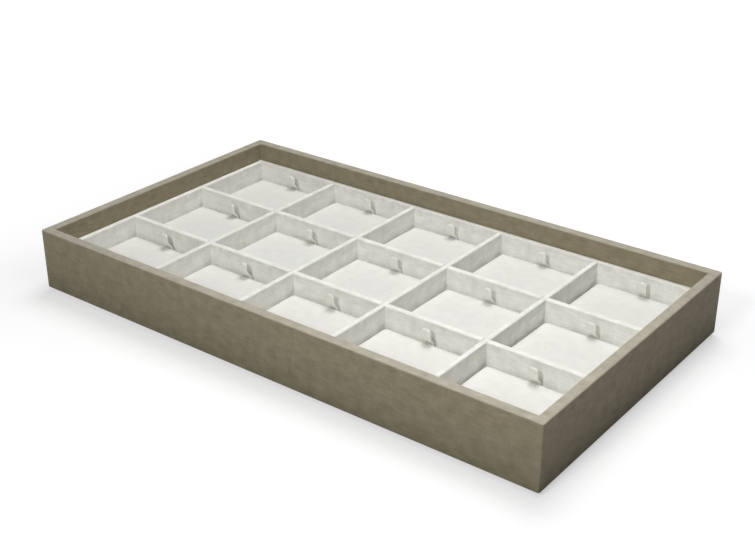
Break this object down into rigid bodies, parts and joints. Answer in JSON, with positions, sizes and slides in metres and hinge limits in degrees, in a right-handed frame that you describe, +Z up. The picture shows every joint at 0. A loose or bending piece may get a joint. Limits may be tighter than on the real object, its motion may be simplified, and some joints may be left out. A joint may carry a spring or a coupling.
{
  "type": "jewelry tray",
  "caption": "Shallow rectangular jewelry tray: linen-grained covered frame with a raised rim, ivory dividers, lift-out floor pads with leaning pendant hooks, and a stacking plinth.",
  "frame": {"origin": "centre of the tray's footprint, on the underside of the felt it rests on", "axes": "+X along the long side, +Y from the front to the back where the hooks stand, +Z up"},
  "size_m": [0.375, 0.21, 0.0435],
  "materials": {
    "taupe_leatherette": "matt, embossed linen grain",
    "ivory_board": "board covered in matt ivory linen-grained leatherette",
    "pale_pad": "board covered in matt near-white linen-grained leatherette",
    "ivory_hook": "moulded, matt",
    "rail_wood": "raw fibreboard",
    "batten_wood": "planed softwood",
    "base_board": "hardboard",
    "felt": "short felt",
    "pin_steel": "drawn wire"
  },
  "bodies": {
    "tray": {"front_rail": "rail_wood", "back_rail": "rail_wood", "left_rail": "rail_wood", "right_rail": "rail_wood", "front_cover": "taupe_leatherette", "back_cover": "taupe_leatherette", "left_cover": "taupe_leatherette", "right_cover": "taupe_leatherette", "front_liner": "ivory_board", "back_liner": "ivory_board", "left_liner": "ivory_board", "right_liner": "ivory_board", "corner_pins": "pin_steel", "base_panel": "base_board", "stacking_plinth": "base_board", "plinth_felt": "felt", "left_batten": "batten_wood", "batten_1": "batten_wood", "batten_2": "batten_wood", "batten_3": "batten_wood", "batten_4": "batten_wood", "right_batten": "batten_wood", "long_divider_1": "ivory_board", "long_divider_2": "ivory_board", "short_divider_1": "ivory_board", "short_divider_2": "ivory_board", "short_divider_3": "ivory_board", "short_divider_4": "ivory_board"},
    "insert_front_1": {"pad_front_1": "pale_pad", "hook_front_1": "ivory_hook"},
    "insert_front_2": {"pad_front_2": "pale_pad", "hook_front_2": "ivory_hook"},
    "insert_front_3": {"pad_front_3": "pale_pad", "hook_front_3": "ivory_hook"},
    "insert_front_4": {"pad_front_4": "pale_pad", "hook_front_4": "ivory_hook"},
    "insert_front_5": {"pad_front_5": "pale_pad", "hook_front_5": "ivory_hook"},
    "insert_middle_1": {"pad_middle_1": "pale_pad", "hook_middle_1": "ivory_hook"},
    "insert_middle_2": {"pad_middle_2": "pale_pad", "hook_middle_2": "ivory_hook"},
    "insert_middle_3": {"pad_middle_3": "pale_pad", "hook_middle_3": "ivory_hook"},
    "insert_middle_4": {"pad_middle_4": "pale_pad", "hook_middle_4": "ivory_hook"},
    "insert_middle_5": {"pad_middle_5": "pale_pad", "hook_middle_5": "ivory_hook"},
    "insert_back_1": {"pad_back_1": "pale_pad", "hook_back_1": "ivory_hook"},
    "insert_back_2": {"pad_back_2": "pale_pad", "hook_back_2": "ivory_hook"},
    "insert_back_3": {"pad_back_3": "pale_pad", "hook_back_3": "ivory_hook"},
    "insert_back_4": {"pad_back_4": "pale_pad", "hook_back_4": "ivory_hook"},
    "insert_back_5": {"pad_back_5": "pale_pad", "hook_back_5": "ivory_hook"}
  },
  "joints": [
    {"name": "lift_front_1", "type": "slide", "parent": "tray", "child": "insert_front_1", "axis": [0, 0, 1], "range_m": [0, 0.045]},
    {"name": "lift_front_2", "type": "slide", "parent": "tray", "child": "insert_front_2", "axis": [0, 0, 1], "range_m": [0, 0.045]},
    {"name": "lift_front_3", "type": "slide", "parent": "tray", "child": "insert_front_3", "axis": [0, 0, 1], "range_m": [0, 0.045]},
    {"name": "lift_front_4", "type": "slide", "parent": "tray", "child": "insert_front_4", "axis": [0, 0, 1], "range_m": [0, 0.045]},
    {"name": "lift_front_5", "type": "slide", "parent": "tray", "child": "insert_front_5", "axis": [0, 0, 1], "range_m": [0, 0.045]},
    {"name": "lift_middle_1", "type": "slide", "parent": "tray", "child": "insert_middle_1", "axis": [0, 0, 1], "range_m": [0, 0.045]},
    {"name": "lift_middle_2", "type": "slide", "parent": "tray", "child": "insert_middle_2", "axis": [0, 0, 1], "range_m": [0, 0.045]},
    {"name": "lift_middle_3", "type": "slide", "parent": "tray", "child": "insert_middle_3", "axis": [0, 0, 1], "range_m": [0, 0.045]},
    {"name": "lift_middle_4", "type": "slide", "parent": "tray", "child": "insert_middle_4", "axis": [0, 0, 1], "range_m": [0, 0.045]},
    {"name": "lift_middle_5", "type": "slide", "parent": "tray", "child": "insert_middle_5", "axis": [0, 0, 1], "range_m": [0, 0.045]},
    {"name": "lift_back_1", "type": "slide", "parent": "tray", "child": "insert_back_1", "axis": [0, 0, 1], "range_m": [0, 0.045]},
    {"name": "lift_back_2", "type": "slide", "parent": "tray", "child": "insert_back_2", "axis": [0, 0, 1], "range_m": [0, 0.045]},
    {"name": "lift_back_3", "type": "slide", "parent": "tray", "child": "insert_back_3", "axis": [0, 0, 1], "range_m": [0, 0.045]},
    {"name": "lift_back_4", "type": "slide", "parent": "tray", "child": "insert_back_4", "axis": [0, 0, 1], "range_m": [0, 0.045]},
    {"name": "lift_back_5", "type": "slide", "parent": "tray", "child": "insert_back_5", "axis": [0, 0, 1], "range_m": [0, 0.045]}
  ]
}
